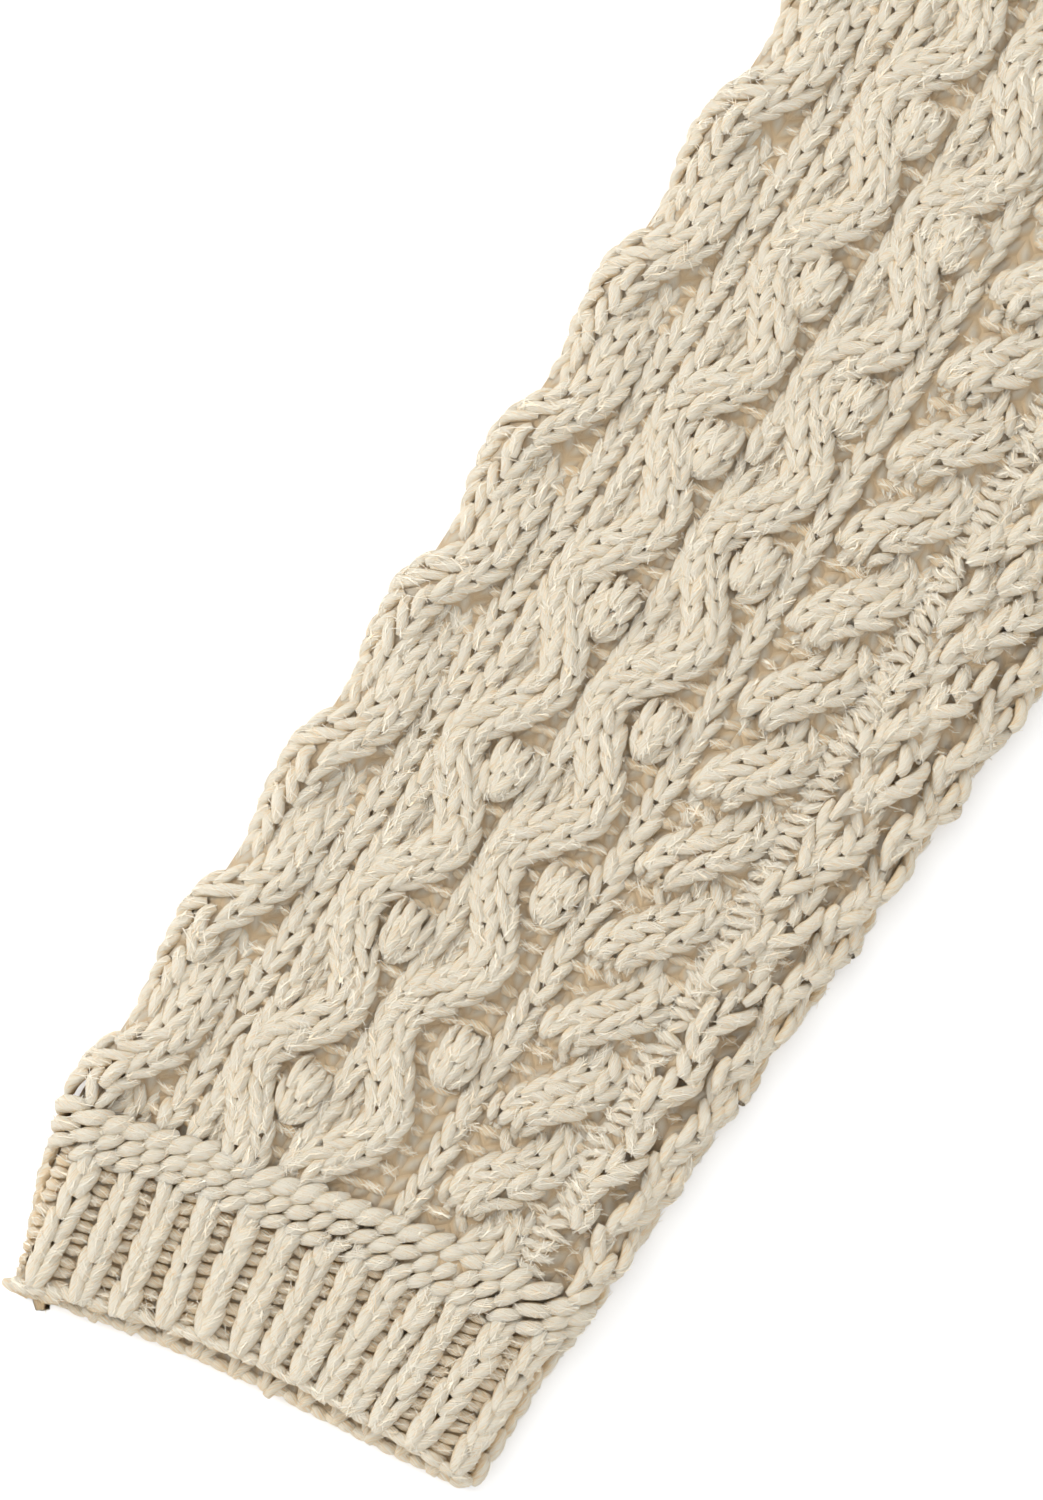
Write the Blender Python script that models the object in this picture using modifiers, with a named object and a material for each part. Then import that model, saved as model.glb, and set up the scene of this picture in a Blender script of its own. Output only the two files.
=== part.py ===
"""A cable-knit cardigan that lies flat and buttoned up, seen from above with its neck towards +Y.

The wearer's right side is at -X. Every cloth piece is a thin wall: a grid pushed into shape, then
given its thickness by Solidify. The back and the undersides of the sleeves lie on the floor at
Z = 0, and the fronts and the tops of the sleeves lie on them. Units are metres.
"""

import math

import bmesh
import bpy
import numpy as np

# Body, measured up from the lower edge of the hem and out from the centre.
BODY_HALF = 0.265
HEM_HALF = 0.257
HEM_DEPTH = 0.065
UNDERARM_HEIGHT = 0.400
SHOULDER_HALF = 0.200
SHOULDER_HEIGHT = 0.600
NECK_HALF = 0.085
NECK_HEIGHT = 0.640
FRONT_NECK_DEPTH = 0.090
BACK_NECK_DEPTH = 0.020

# Sleeve, measured from the outer corner of its cuff: along the sleeve, and across towards the body.
SLEEVE_LEAN = math.radians(33.2)
UNDERARM_ALONG = 0.430
UNDERARM_ACROSS = 0.152
OUTER_EDGE = -0.0114
STRAIGHT_TO = 0.300
INNER_EDGE = 0.100
INNER_SLOPE = 0.046
WIDENS_FROM = 0.200
SEAM_SHARE = 0.93
SEAM_SHARE_TOP = 0.985
UNDERARM_EASE = 0.0032
SHOULDER_EASE = 0.001

# Cuff, in the same measures.
CUFF_CORNER_ALONG = 0.017
CUFF_OUTER_TOP = 0.040
CUFF_INNER_TOP = 0.061
CUFF_TOP_BOW = 0.0015
CUFF_LIP = 0.004
CUFF_SWELL = 0.0005

# Bands and buttons.
BAND_HALF = 0.016
NECKBAND_WIDTH = 0.022
NECKBAND_FRONT_WIDTH = 0.025
NECKBAND_RISE = 0.007
NECKBAND_BACK_DIP = 0.002
LIFT_REACH = 0.045
BUTTON_COUNT = 6
BUTTON_LOWEST = 0.030
BUTTON_HIGHEST = 0.530
BUTTON_RADIUS = 0.011
BUTTON_THICKNESS = 0.0036
BUTTON_RIM = 0.0026
BUTTON_DISH = 0.0008
BUTTON_HOLE_RADIUS = 0.0011
BUTTON_HOLE_OFFSET = 0.0022

# Walls, and the air between what lies on what.
CABLE_WALL = 0.005
RIB_WALL = 0.004
BAND_WALL = 0.0035
LAYER_GAP = 0.0006
SEAM_GAP = 0.0004
CUFF_GAP = 0.0008

# Half the length from the hem to the neckband's fold. The origin is under the middle of it.
LAID_MIDDLE = (NECK_HEIGHT + NECKBAND_RISE + (CABLE_WALL + LAYER_GAP + BAND_WALL) / 2) / 2

CREAM = (0.86, 0.80, 0.66)
HORN = (0.30, 0.19, 0.11)


# Grid steps across a button band, round a quarter of the neck, and along a shoulder.
BAND_STEPS = 3
NECK_STEPS = 8
SHOULDER_STEPS = 4

# Grid steps up a side seam and round an armhole.
SIDE_STEPS = 6
ARMHOLE_STEPS = 8

TOP_EDGE_STEPS = NECK_STEPS + SHOULDER_STEPS
SIDE_EDGE_STEPS = SIDE_STEPS + ARMHOLE_STEPS

# Grid steps round a flattened sleeve: its top, each fold, its underside, and from fold to seam.
TOP_STEPS = 10
FOLD_STEPS = 4
UNDER_STEPS = 10
STRIP_STEPS = 2
ROUND_STEPS = TOP_STEPS + UNDER_STEPS + 2 * FOLD_STEPS + STRIP_STEPS

ALONG = np.array((math.sin(SLEEVE_LEAN), math.cos(SLEEVE_LEAN)))
ACROSS = np.array((math.cos(SLEEVE_LEAN), -math.sin(SLEEVE_LEAN)))


def clear_scene():
    for item in list(bpy.data.objects):
        bpy.data.objects.remove(item, do_unlink=True)


def ease(value):
    """0 below 0, 1 above 1, and a smooth rise between."""
    value = min(max(value, 0.0), 1.0)
    return value * value * (3 - 2 * value)


def mix(low, high, share):
    return low + (high - low) * share


def new_material(name, colour, roughness):
    made = bpy.data.materials.new(name)
    made.use_nodes = True
    shader = made.node_tree.nodes["Principled BSDF"]
    shader.inputs["Base Color"].default_value = (*colour, 1.0)
    shader.inputs["Roughness"].default_value = roughness
    return made


def new_collection(name):
    made = bpy.data.collections.new(name)
    bpy.context.scene.collection.children.link(made)
    return made


def cloth(name, columns, rows, shape, wall):
    """A grid whose point at (share across, share along) goes to shape of the two, with a wall."""
    bm = bmesh.new()
    bmesh.ops.create_grid(bm, x_segments=columns, y_segments=rows, size=0.5)
    for vert in bm.verts:
        x, y, z = shape(vert.co.x + 0.5, vert.co.y + 0.5)
        vert.co = (x, y - LAID_MIDDLE, z)
    mesh = bpy.data.meshes.new(name)
    bm.to_mesh(mesh)
    bm.free()
    mesh.shade_smooth()
    mesh.materials.append(wool)
    made = bpy.data.objects.new(name, mesh)
    parts.objects.link(made)
    solidify = made.modifiers.new("wall", "SOLIDIFY")
    solidify.thickness = wall
    solidify.offset = 0


def patch(low, high, near, far, across, along):
    """A point of the four-sided panel between two edge curves across it and two along it."""
    between = mix(low(across), high(across), along) + mix(near(along), far(along), across)
    low_line = mix(low(0), low(1), across)
    high_line = mix(high(0), high(1), across)
    return between - mix(low_line, high_line, along)


# Body


def body_half(height):
    """Half the width of the body: straight up to the underarm, then in round the armhole."""
    rise = (height - UNDERARM_HEIGHT) / (SHOULDER_HEIGHT - UNDERARM_HEIGHT)
    rise = min(max(rise, 0.0), 1.0)
    return mix(SHOULDER_HALF, BODY_HALF, (1 - rise) ** 2)


def side_edge(along):
    """The side seam, then the armhole, which takes the larger share of the rows."""
    side_share = SIDE_STEPS / SIDE_EDGE_STEPS
    if along < side_share:
        height = mix(HEM_DEPTH, UNDERARM_HEIGHT, along / side_share)
    else:
        rise = (along - side_share) / (1 - side_share)
        height = mix(UNDERARM_HEIGHT, SHOULDER_HEIGHT, rise)
    return np.array((body_half(height), height))


def shoulder(across):
    """The sloping shoulder seam, from the neck at 0 to its tip at 1."""
    x = mix(NECK_HALF + SEAM_GAP, SHOULDER_HALF, across)
    return np.array((x, mix(NECK_HEIGHT, SHOULDER_HEIGHT, across)))


def neckline(angle, depth):
    """The edge of a panel round the neck, from its lowest point to the shoulder a quarter turn on."""
    x = (NECK_HALF + SEAM_GAP) * math.sin(angle)
    return np.array((x, NECK_HEIGHT - (depth + SEAM_GAP) * math.cos(angle)))


def band_angle(half):
    """How far round a neck curve of this half width the edge of the button band is."""
    return math.asin(BAND_HALF / half)


def back_top(across):
    """The top edge of the back, from the left shoulder tip through the neck to the right one."""
    side = 2 * across - 1
    neck_share = NECK_STEPS / TOP_EDGE_STEPS
    if abs(side) <= neck_share:
        x, y = neckline(math.pi / 2 * abs(side) / neck_share, BACK_NECK_DEPTH)
    else:
        x, y = shoulder((abs(side) - neck_share) / (1 - neck_share))
    return np.array((math.copysign(x, side), y))


def back_hem_line(across):
    return np.array((mix(-BODY_HALF, BODY_HALF, across), HEM_DEPTH))


def back_side_edge(along):
    x, y = side_edge(along)
    return np.array((-x, y))


def build_back():
    def back(across, along):
        x, y = patch(back_hem_line, back_top, back_side_edge, side_edge, across, along)
        return x, y, CABLE_WALL / 2

    def hem(across, along):
        x = (2 * across - 1) * mix(HEM_HALF, BODY_HALF, along)
        return x, along * (HEM_DEPTH - SEAM_GAP), RIB_WALL / 2

    cloth("back", 2 * TOP_EDGE_STEPS, SIDE_EDGE_STEPS, back, CABLE_WALL)
    cloth("hem_back", 16, 3, hem, RIB_WALL)


def front_middle(x, height, wall, over):
    """How high the middle of a front's wall lies. The front on top rises towards its band."""
    back_wall = mix(RIB_WALL, CABLE_WALL, ease((height - 0.6 * HEM_DEPTH) / (0.3 * HEM_DEPTH)))
    resting = back_wall + LAYER_GAP + wall / 2
    if not over:
        return resting
    lift = 1.5 * BAND_WALL + SEAM_GAP - wall / 2
    return resting + lift * ease(1 - (x - BAND_HALF) / LIFT_REACH)


def band_edge(along):
    top = neckline(band_angle(NECK_HALF), FRONT_NECK_DEPTH)[1]
    return np.array((BAND_HALF + SEAM_GAP, mix(HEM_DEPTH, top, along)))


def front_top(across):
    """The top edge of a front, from its band round the neck, then along the shoulder."""
    neck_share = NECK_STEPS / TOP_EDGE_STEPS
    if across > neck_share:
        return shoulder((across - neck_share) / (1 - neck_share))
    x, y = neckline(mix(band_angle(NECK_HALF), math.pi / 2, across / neck_share), FRONT_NECK_DEPTH)
    return np.array((max(x, BAND_HALF + SEAM_GAP), y))


def front_hem_line(across):
    return np.array((mix(BAND_HALF + SEAM_GAP, BODY_HALF, across), HEM_DEPTH))


def build_front(side, hand, over):
    def front(across, along):
        x, y = patch(front_hem_line, front_top, band_edge, side_edge, across, along)
        return hand * x, y, front_middle(x, y, CABLE_WALL, over)

    def hem(across, along):
        x = mix(BAND_HALF + SEAM_GAP, mix(HEM_HALF, BODY_HALF, along), across)
        y = along * (HEM_DEPTH - SEAM_GAP)
        return hand * x, y, front_middle(x, y, RIB_WALL, over)

    def band(across, along):
        angle = mix(-1, 1, across) * band_angle(NECK_HALF)
        x = NECK_HALF * math.sin(angle)
        top = neckline(angle, FRONT_NECK_DEPTH)[1]
        return x, along * top, front_middle(0, along * top, BAND_WALL, over)

    cloth("front_" + side, TOP_EDGE_STEPS, SIDE_EDGE_STEPS, front, CABLE_WALL)
    cloth("hem_front_" + side, 8, 3, hem, RIB_WALL)
    cloth("band_" + side, BAND_STEPS, 16, band, BAND_WALL)


def neck_point(half, base, depth, turn):
    """A point of a neck curve: turn is 0 where the button band's edge meets it and 1 at the
    shoulder, and -1 at the band's other edge."""
    band = band_angle(half)
    angle = mix(band, math.pi / 2, turn) if turn > 0 else mix(band, -band, -turn)
    return np.array((half * math.sin(angle), base - depth * math.cos(angle)))


def neck_points(hand, turn, outer_depth, inner_depth):
    """The outer and inner edge of the neckband, which the panels meet along its outer edge."""
    outer = neck_point(NECK_HALF, NECK_HEIGHT, outer_depth, turn)
    inner_half = NECK_HALF - NECKBAND_WIDTH
    inner = neck_point(inner_half, NECK_HEIGHT + NECKBAND_RISE, inner_depth, turn)
    return outer * (hand, 1), inner * (hand, 1)


def neckband_half(hand, over):
    """(outer point, inner point, height) from the front's band up to the shoulder and over it."""
    inner_front = FRONT_NECK_DEPTH + NECKBAND_RISE - NECKBAND_FRONT_WIDTH
    turns = [step / BAND_STEPS - 1 for step in range(BAND_STEPS)]
    turns += [step / NECK_STEPS for step in range(NECK_STEPS + 1)]
    stations = []
    for turn in turns:
        outer, inner = neck_points(hand, turn, FRONT_NECK_DEPTH, inner_front)
        height = front_middle(hand * outer[0], NECK_HEIGHT, BAND_WALL, over)
        stations.append((outer, inner, height))
    fold = (stations[-1][2] - BAND_WALL / 2) / 2
    for step in range(1, FOLD_STEPS):
        angle = math.pi * step / FOLD_STEPS
        bulge = np.array((0, fold * math.sin(angle)))
        height = BAND_WALL / 2 + fold * (1 + math.cos(angle))
        stations.append((outer + bulge, inner + bulge, height))
    return stations


def neckband_stations():
    """Up the right front, over the shoulder, round the back of the neck, and down the left."""
    quarter = []
    for step in range(NECK_STEPS + 1):
        angle = math.pi / 2 * step / NECK_STEPS
        outer = NECK_HALF * math.sin(angle), NECK_HEIGHT - BACK_NECK_DEPTH * math.cos(angle)
        inner_half = NECK_HALF - NECKBAND_WIDTH
        inner_height = NECK_HEIGHT + NECKBAND_RISE - NECKBAND_BACK_DIP * math.cos(angle)
        inner = inner_half * math.sin(angle), inner_height
        quarter.append((np.array(outer), np.array(inner), BAND_WALL / 2))
    mirrored = [(outer * (-1, 1), inner * (-1, 1), height) for outer, inner, height in quarter]
    back = mirrored[:0:-1] + quarter
    return neckband_half(-1, False) + back + neckband_half(1, True)[::-1]


def build_neckband():
    stations = neckband_stations()

    def neckband(across, along):
        outer, inner, height = stations[round(along * (len(stations) - 1))]
        x, y = mix(outer, inner, across)
        return x, y, height

    cloth("neckband", 3, len(stations) - 1, neckband, BAND_WALL)


# Sleeves


def from_sleeve(across, along):
    """The garment point of a place on the right sleeve."""
    return CUFF_CORNER + across * ACROSS + along * ALONG


def armhole(across):
    """The sleeve's upper end, from the shoulder tip to the underarm, just clear of the body."""
    height = mix(SHOULDER_HEIGHT, UNDERARM_HEIGHT, across)
    clear = SEAM_GAP + SHOULDER_EASE * (1 - across) ** 6 + UNDERARM_EASE * across**6
    return np.array((-body_half(height) - clear, height))


CUFF_CORNER = armhole(1) - UNDERARM_ALONG * ALONG - UNDERARM_ACROSS * ACROSS
SHOULDER_ALONG = float((armhole(0) - CUFF_CORNER) @ ALONG)
SHOULDER_ACROSS = float((armhole(0) - CUFF_CORNER) @ ACROSS)


def cuff_low(across):
    return from_sleeve(across * INNER_EDGE, CUFF_CORNER_ALONG * (1 - (1 - across) ** 2.6))


def cuff_high(across):
    along = mix(CUFF_OUTER_TOP, CUFF_INNER_TOP, across) + CUFF_TOP_BOW * 4 * across * (1 - across)
    return from_sleeve(mix(OUTER_EDGE, INNER_EDGE, across), along)


def cuff_outer(along):
    return from_sleeve(OUTER_EDGE * along**0.8, along * CUFF_OUTER_TOP)


def cuff_inner(along):
    return from_sleeve(INNER_EDGE, mix(CUFF_CORNER_ALONG, CUFF_INNER_TOP, along))


def sleeve_low(across):
    return cuff_high(across) + CUFF_GAP * ALONG


def sleeve_outer(share):
    along = mix(CUFF_OUTER_TOP + CUFF_GAP, SHOULDER_ALONG, share)
    bend = max(along - STRAIGHT_TO, 0) / (SHOULDER_ALONG - STRAIGHT_TO)
    return from_sleeve(mix(OUTER_EDGE, SHOULDER_ACROSS, bend**2.2), along)


def sleeve_inner(share):
    along = mix(CUFF_INNER_TOP + CUFF_GAP, UNDERARM_ALONG, share)
    widening = max(along - WIDENS_FROM, 0) / (UNDERARM_ALONG - WIDENS_FROM)
    straight = INNER_EDGE + INNER_SLOPE * (along - CUFF_INNER_TOP)
    rest = UNDERARM_ACROSS - INNER_EDGE - INNER_SLOPE * (UNDERARM_ALONG - CUFF_INNER_TOP)
    return from_sleeve(straight + rest * widening**1.6, along)


def round_stations():
    """(run, share of it) round a flattened sleeve, from its seam and back to it."""
    runs = (
        ("top", TOP_STEPS),
        ("outer fold", FOLD_STEPS),
        ("under", UNDER_STEPS),
        ("inner fold", FOLD_STEPS),
        ("strip", STRIP_STEPS),
    )
    stations = [("top", 0.0)]
    for run, steps in runs:
        stations += [(run, step / steps) for step in range(1, steps + 1)]
    return stations


def place_round(run, share, seam, gap):
    """(share of the flat width, angle up from the floor's plane) of a station."""
    if run == "top":
        return mix(seam, 0, share), math.pi / 2
    if run == "outer fold":
        return 0, mix(math.pi / 2, -math.pi / 2, share)
    if run == "under":
        return share, -math.pi / 2
    if run == "inner fold":
        return 1, mix(-math.pi / 2, math.pi / 2, share)
    return mix(1, seam + gap, share), math.pi / 2


def tube(name, hand, rows, wall, edges, seam, fold, lip):
    """A sleeve or cuff pressed flat: two layers joined by a fold at each edge, open at the seam."""
    low, high, near, far = edges
    stations = round_stations()

    def shape(around, along):
        run, share = stations[round(around * ROUND_STEPS)]
        width = float(np.linalg.norm(far(along) - near(along)))
        radius = fold(along)
        inset = wall / 2 + radius
        flat, angle = place_round(run, share, seam(along), SEAM_GAP / width)
        across = inset + flat * (width - 2 * inset) + radius * math.cos(angle) * (2 * flat - 1)
        x, y = patch(low, high, near, far, across / width, along)
        underneath = (1 - math.sin(angle)) / 2
        drop = lip * underneath * (1 - along) * math.sin(math.pi * across / width) ** 0.6
        x, y = np.array((x, y)) - drop * ALONG
        return hand * x, y, wall / 2 + radius * (1 + math.sin(angle))

    cloth(name, ROUND_STEPS, rows, shape, wall)


def build_sleeve(side, hand):
    tube(
        "sleeve_" + side,
        hand,
        12,
        CABLE_WALL,
        (sleeve_low, armhole, sleeve_outer, sleeve_inner),
        lambda along: mix(SEAM_SHARE, SEAM_SHARE_TOP, along),
        lambda along: (CABLE_WALL + LAYER_GAP) / 2,
        0,
    )
    tube(
        "cuff_" + side,
        hand,
        4,
        RIB_WALL,
        (cuff_low, cuff_high, cuff_outer, cuff_inner),
        lambda along: SEAM_SHARE,
        lambda along: (RIB_WALL + LAYER_GAP) / 2 + along * CUFF_SWELL,
        CUFF_LIP,
    )


# Buttons


def linked(name, mesh, collection):
    made = bpy.data.objects.new(name, mesh)
    collection.objects.link(made)
    return made


def disc(radius, low, high, sides, place=(0, 0)):
    """Faces of one upright cylinder, as a new bmesh."""
    bm = bmesh.new()
    bmesh.ops.create_cone(
        bm, cap_ends=True, segments=sides, radius1=radius, radius2=radius, depth=high - low
    )
    bmesh.ops.translate(bm, verts=bm.verts, vec=(*place, (low + high) / 2))
    return bm


def button_mesh():
    """A round button with a dished face and four holes."""
    bm = disc(BUTTON_RADIUS, 0, BUTTON_THICKNESS, 24)
    rim = [edge for edge in bm.edges if abs(edge.verts[0].co.z - edge.verts[1].co.z) < 1e-6]
    bmesh.ops.bevel(
        bm, geom=rim, offset=BUTTON_DISH, segments=1, affect="EDGES", profile=0.5
    )
    top = max(bm.faces, key=lambda face: face.calc_center_median().z)
    bmesh.ops.inset_region(bm, faces=[top], thickness=BUTTON_RIM, depth=0)
    bmesh.ops.inset_region(bm, faces=[top], thickness=BUTTON_DISH, depth=-BUTTON_DISH)
    mesh = bpy.data.meshes.new("button_blank")
    bm.to_mesh(mesh)
    bm.free()
    blank = linked("button_blank", mesh, cutters)
    holes = bmesh.new()
    for quarter in range(4):
        angle = math.radians(45 + 90 * quarter)
        place = (BUTTON_HOLE_OFFSET * math.cos(angle), BUTTON_HOLE_OFFSET * math.sin(angle))
        hole = disc(BUTTON_HOLE_RADIUS, -BUTTON_THICKNESS, 2 * BUTTON_THICKNESS, 8, place)
        loose = bpy.data.meshes.new("hole")
        hole.to_mesh(loose)
        hole.free()
        holes.from_mesh(loose)
    mesh = bpy.data.meshes.new("button_holes")
    holes.to_mesh(mesh)
    holes.free()
    cut = blank.modifiers.new("holes", "BOOLEAN")
    cut.object = linked("button_holes", mesh, cutters)
    graph = bpy.context.evaluated_depsgraph_get()
    made = bpy.data.meshes.new_from_object(blank.evaluated_get(graph))
    for helper in (blank, cut.object):
        bpy.data.objects.remove(helper)
    made.materials.clear()
    made.materials.append(horn)
    return made


def build_buttons():
    mesh = button_mesh()
    for number in range(BUTTON_COUNT):
        height = mix(BUTTON_LOWEST, BUTTON_HIGHEST, number / (BUTTON_COUNT - 1))
        button = linked(f"button_{number + 1}", mesh, parts)
        top = front_middle(0, height, BAND_WALL, True) + BAND_WALL / 2
        button.location = (0, height - LAID_MIDDLE, top + SEAM_GAP)


clear_scene()
parts = new_collection("cable_knit_cardigan")
cutters = new_collection("cutters")
wool = new_material("wool", CREAM, 0.9)
horn = new_material("horn", HORN, 0.35)

build_back()
build_front("right", -1, False)
build_front("left", 1, True)
build_neckband()
for side, hand in (("right", 1), ("left", -1)):
    build_sleeve(side, hand)
build_buttons()
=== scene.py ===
"""The looks of the cable-knit cardigan.

On the right sleeve every stitch from the cuff up to CHART_HIGH is a yarn of its own. Stitches are
charted in millimetres: on a sleeve, u runs across it towards the body and s runs along it, up from
the outer corner of its cuff. on_sleeve() puts a charted point in the frame. The rest of that sleeve
and the other panels carry the same chart as relief.
"""

import math

import bpy
import numpy as np
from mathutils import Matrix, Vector


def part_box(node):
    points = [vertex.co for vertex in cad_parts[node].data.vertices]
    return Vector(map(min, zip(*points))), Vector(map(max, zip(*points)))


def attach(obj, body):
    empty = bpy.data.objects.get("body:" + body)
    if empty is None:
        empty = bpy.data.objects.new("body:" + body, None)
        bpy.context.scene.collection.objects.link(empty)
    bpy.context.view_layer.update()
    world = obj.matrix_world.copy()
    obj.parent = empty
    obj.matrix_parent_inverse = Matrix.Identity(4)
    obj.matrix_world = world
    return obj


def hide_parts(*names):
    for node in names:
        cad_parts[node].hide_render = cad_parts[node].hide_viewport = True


MM = 0.001

# The cut of the body, in millimetres, the same as the CAD model's.
BODY_HALF = 265.0
HEM_HALF = 257.0
HEM_DEPTH = 65.0
UNDERARM_HEIGHT = 400.0
SHOULDER_HALF = 200.0
SHOULDER_HEIGHT = 600.0
NECK_HALF = 85.0
NECK_HEIGHT = 640.0
FRONT_NECK_DEPTH = 90.0
BACK_NECK_DEPTH = 20.0
BAND_HALF = 16.0
NECKBAND_WIDTH = 22.0
NECKBAND_FRONT_WIDTH = 25.0
NECKBAND_RISE = 7.0
NECKBAND_BACK_DIP = 2.0
LIFT_REACH = 45.0
CABLE_WALL = 5.0
RIB_WALL = 4.0
BAND_WALL = 3.5
LAYER_GAP = 0.6
SEAM_GAP = 0.4
NECK_SHARE = 2 / 3

# The cut of a sleeve, in the sleeve's own measures.
LEAN = math.radians(33.2)
UNDERARM_ALONG = 430.0
UNDERARM_ACROSS = 152.0
UNDERARM_CLEAR = 3.6
OUTER_EDGE = -11.4
INNER_EDGE = 100.0
STRAIGHT_TO = 300.0
WIDENS_FROM = 200.0
INNER_SLOPE = 0.046
CUFF_CORNER_ALONG = 17.0
CUFF_OUTER_TOP = 40.0
CUFF_INNER_TOP = 61.0
CUFF_LIP = 4.0

# The section of a pressed sleeve: how far its ground stays inside the outline, and its folds.
OUTER_RELIEF = 2.6
INNER_RELIEF = 2.2
INNER_ROLL = 12.0
UNDERSIDE = 0.6
INNER_INSET = 3.2

# Yarn and stitches, in millimetres. BEYOND is how far a column's line runs past its stitches, and
# REST is how near the yarn and the sleeves come to the surface below.
ROW = 4.77
YARN = 1.42
CABLE = 8 * ROW
WALE = 5.6
SIDES = 7
SPANS = 6
BEYOND = 12.0
REST = 0.15
FIBRES = 36000
FIBRE_SPANS = 2
FIBRE_HALF = 0.06

# The chart. Its yarns end at CHART_HIGH. Up to there the ground lies BURIED below the yarns, and
# past it the relief is PROUD times as high. On a flat panel the relief starts SUNK into the wall.
CHART_HIGH = 345.0
CHART_TOP = 660.0
CHART_WIDTH = 82.0
BOBBLES_TO = 620.0
BURIED = 0.15
PROUD = 1.6
SUNK = 3.4
HIGHEST_RELIEF = 5.6
THINNEST = 0.4
FIRST_BOBBLE = 66.0
INNER_BOBBLE = 88.6
BOBBLE_U = 27.2
INNER_BOBBLE_U = 48.4
FRONT_SHIFT = 38.0

# How far across each rib of the cuff starts and ends, and the valley between two ribs.
RIB_LOW_U = (-6.5, 4.2, 13.4, 21.4, 30.2, 37.8, 45.4, 52.2, 58.8, 64.4, 70.8, 77.2, 85.4, 93.2, 100.5)
RIB_HIGH_U = (-9.5, -0.2, 8.0, 16.4, 23.8, 32.4, 41.0, 49.0, 56.2, 64.4, 71.8, 78.0, 87.0, 94.0, 102.0)
VALLEY = 1.7

BUTTONS = 6
HOLE_OFFSET = 2.2

# Wool, from its crowns to its hollows. The tans are painted warm shade in the hollows, the pits and
# the yarns' undersides. The last colour is painted shade that deepens relief without yarns over it.
YARN_CREAM = (0.93, 0.86, 0.71)
YARN_PAINTED_SHADE_TAN = (0.90, 0.65, 0.35)
KNIT_CREAM = (0.94, 0.86, 0.70)
KNIT_PAINTED_SHADE_TAN = (0.90, 0.66, 0.38)
UNCOVERED_PAINTED_SHADE = (0.91, 0.90, 0.89)
HORN_DARK = (0.10, 0.055, 0.03)
HORN_LIGHT = (0.36, 0.21, 0.11)

# The studio, in metres and watts. At KNIT_TOP the picture is FRAME_HEIGHT high, round the place on
# the sleeve's chart that is FRAME_ACROSS and FRAME_ALONG, in millimetres.
FRAME_HEIGHT = 0.300
FRAME_ACROSS = 27.3
FRAME_ALONG = 146.9
KNIT_TOP = 0.010
CAMERA_RISE = 1.6
SENSOR = 36
FLOOR_TONE = (0.97, 0.97, 0.97)
SKY_STRENGTH = 1.2
KEY_OFFSET = (-1.75, 1.15)
KEY_RISE = 1.5
KEY_SIZE = 1.6
KEY_POWER = 46

ALONG = np.array((math.sin(LEAN), math.cos(LEAN)))
ACROSS = np.array((math.cos(LEAN), -math.sin(LEAN)))

rng = np.random.default_rng(7)
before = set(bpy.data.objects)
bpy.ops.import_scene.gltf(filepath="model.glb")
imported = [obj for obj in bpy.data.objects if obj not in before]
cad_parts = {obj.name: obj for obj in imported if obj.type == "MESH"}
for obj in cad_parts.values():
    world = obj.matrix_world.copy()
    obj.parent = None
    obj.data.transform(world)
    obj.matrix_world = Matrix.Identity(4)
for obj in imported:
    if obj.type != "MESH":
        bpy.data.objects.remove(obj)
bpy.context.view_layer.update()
HEM_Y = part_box("hem_back")[0].y / MM


def mix(low, high, share):
    return low + (high - low) * share


def ease(value):
    value = np.clip(value, 0, 1)
    return value * value * (3 - 2 * value)


def body_half(height):
    """Half the width of the body: straight up to the underarm, then in round the armhole."""
    rise = np.clip((height - UNDERARM_HEIGHT) / (SHOULDER_HEIGHT - UNDERARM_HEIGHT), 0, 1)
    return mix(SHOULDER_HALF, BODY_HALF, (1 - rise) ** 2)


CORNER = (
    np.array((-BODY_HALF - UNDERARM_CLEAR, HEM_Y + UNDERARM_HEIGHT))
    - UNDERARM_ALONG * ALONG
    - UNDERARM_ACROSS * ACROSS
)


def armhole_line():
    """How far across a sleeve its seam with the body lies, against how far along."""
    height = np.linspace(UNDERARM_HEIGHT, SHOULDER_HEIGHT, 60)
    rise = (height - UNDERARM_HEIGHT) / (SHOULDER_HEIGHT - UNDERARM_HEIGHT)
    clear = mix(SEAM_GAP, UNDERARM_CLEAR, (1 - rise) ** 20)
    points = np.stack((-body_half(height) - clear, height + HEM_Y), axis=-1) - CORNER
    return points @ ALONG, points @ ACROSS


ARMHOLE_ALONG, ARMHOLE_ACROSS = armhole_line()


# The form of a pressed sleeve


def outer_edge(s):
    """How far across the outer silhouette lies."""
    taper = OUTER_EDGE * np.clip(s / CUFF_OUTER_TOP, 0.0001, 1) ** 0.8
    bend = np.clip((s - STRAIGHT_TO) / (ARMHOLE_ALONG[-1] - STRAIGHT_TO), 0.0001, 1)
    return taper + (ARMHOLE_ACROSS[-1] - OUTER_EDGE) * bend**2.2


def inner_edge(s):
    """How far across the inner silhouette lies, then the armhole's seam."""
    straight = INNER_EDGE + INNER_SLOPE * np.clip(s - CUFF_INNER_TOP, 0, None)
    rest = UNDERARM_ACROSS - INNER_EDGE - INNER_SLOPE * (UNDERARM_ALONG - CUFF_INNER_TOP)
    widening = np.clip((s - WIDENS_FROM) / (UNDERARM_ALONG - WIDENS_FROM), 0.0001, 1.2)
    seam = np.interp(s, ARMHOLE_ALONG, ARMHOLE_ACROSS)
    return np.where(s < UNDERARM_ALONG, straight + rest * widening**1.6, seam)


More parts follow.
